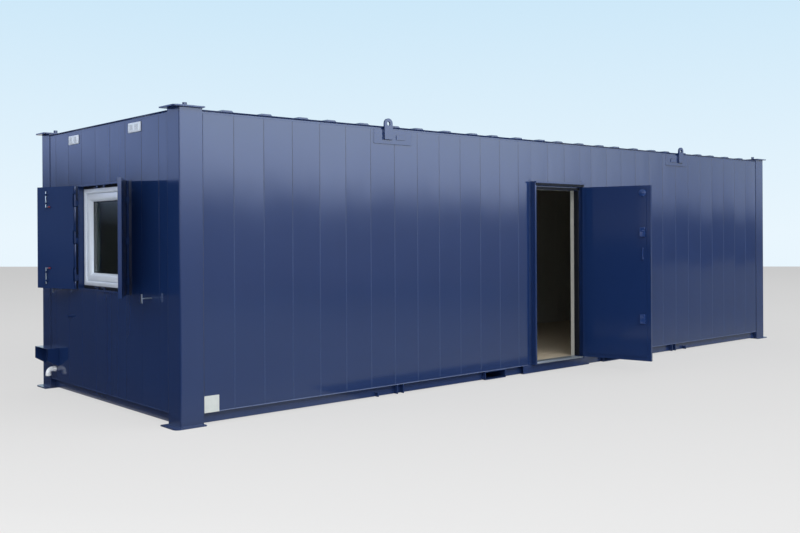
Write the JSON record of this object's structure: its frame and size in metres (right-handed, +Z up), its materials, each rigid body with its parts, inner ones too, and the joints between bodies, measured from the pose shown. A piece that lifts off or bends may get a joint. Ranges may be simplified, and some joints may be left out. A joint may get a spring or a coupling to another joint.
{
  "type": "steel site cabin",
  "caption": "Long steel-clad portable site cabin on corner posts, with a hinged steel door, a shuttered window in one end, lifting eyes and fork pockets.",
  "frame": {"origin": "outer corner of the front-left corner post at ground level, on the underside of its foot plate", "axes": "+X along the length from the window end, +Y back from the door wall, +Z up"},
  "size_m": [10.1439, 3.9859, 2.7509],
  "materials": {
    "navy_paint": "semi-gloss navy paint on sheet steel",
    "bare_steel": "galvanised cold-rolled channel",
    "floor_vinyl": "beige sheet vinyl on plywood",
    "lining_board": "pale vinyl-faced board",
    "threshold_alloy": "mill-finish tread strip",
    "lock_paint": "navy painted lock gear",
    "white_upvc": "white extruded window profile",
    "window_glass": "clear double glazing",
    "zinc_steel": "bright zinc plate",
    "white_pipe": "white plastic waste pipe"
  },
  "bodies": {
    "cabin": {"corner_posts": "navy_paint", "cap_plates": "navy_paint", "foot_plates": "navy_paint", "base_rails": "navy_paint", "rail_gussets": "navy_paint", "fork_pockets": "navy_paint", "floor_bearers": "bare_steel", "floor_deck": "floor_vinyl", "front_wall_sides": "navy_paint", "front_wall_over_door": "navy_paint", "rear_wall": "navy_paint", "left_wall_sides": "navy_paint", "left_wall_over_window": "navy_paint", "left_wall_under_window": "navy_paint", "right_wall": "navy_paint", "wall_linings": "lining_board", "ceiling": "lining_board", "roof_sheet": "navy_paint", "eaves_trim": "navy_paint", "eye_pads": "navy_paint", "lifting_eyes": "navy_paint", "door_jambs": "navy_paint", "door_head": "navy_paint", "door_threshold": "threshold_alloy", "door_apron": "navy_paint", "door_reveal": "lining_board", "door_frame_hinges": "navy_paint", "window_surround": "navy_paint", "window_frame": "white_upvc", "window_sash": "white_upvc", "window_glass": "window_glass", "shutter_frame_hinges": "navy_paint", "bolt_keepers": "navy_paint", "shutter_catches": "zinc_steel", "cable_hood": "navy_paint", "waste_elbow": "white_pipe", "overflow_spout": "navy_paint"},
    "door": {"door_leaf": "navy_paint", "door_leaf_hinges": "navy_paint", "door_lock_gear": "lock_paint"},
    "left_shutter": {"left_shutter": "navy_paint", "bolt_guides": "navy_paint"},
    "right_shutter": {"right_shutter": "navy_paint"},
    "upper_bolt": {"upper_bolt": "zinc_steel"},
    "lower_bolt": {"lower_bolt": "zinc_steel"}
  },
  "joints": [
    {"name": "door_swing", "type": "hinge", "parent": "cabin", "child": "door", "pos_m": [5.3, -0.071, 1.142], "axis": [0, 0, 1], "range_deg": [-103, 62]},
    {"name": "left_shutter_swing", "type": "hinge", "parent": "cabin", "child": "left_shutter", "pos_m": [-0.03, 2.09, 1.591], "axis": [0, 0, -1], "range_deg": [-163, 2]},
    {"name": "right_shutter_swing", "type": "hinge", "parent": "cabin", "child": "right_shutter", "pos_m": [-0.03, 0.958, 1.591], "axis": [0, 0, 1], "range_deg": [-150, 15]},
    {"name": "upper_bolt_slide", "type": "slide", "parent": "left_shutter", "child": "upper_bolt", "axis": [0, 0, 1], "range_m": [0, 0.02]},
    {"name": "lower_bolt_slide", "type": "slide", "parent": "left_shutter", "child": "lower_bolt", "axis": [0, 0, -1], "range_m": [0, 0.02]}
  ]
}
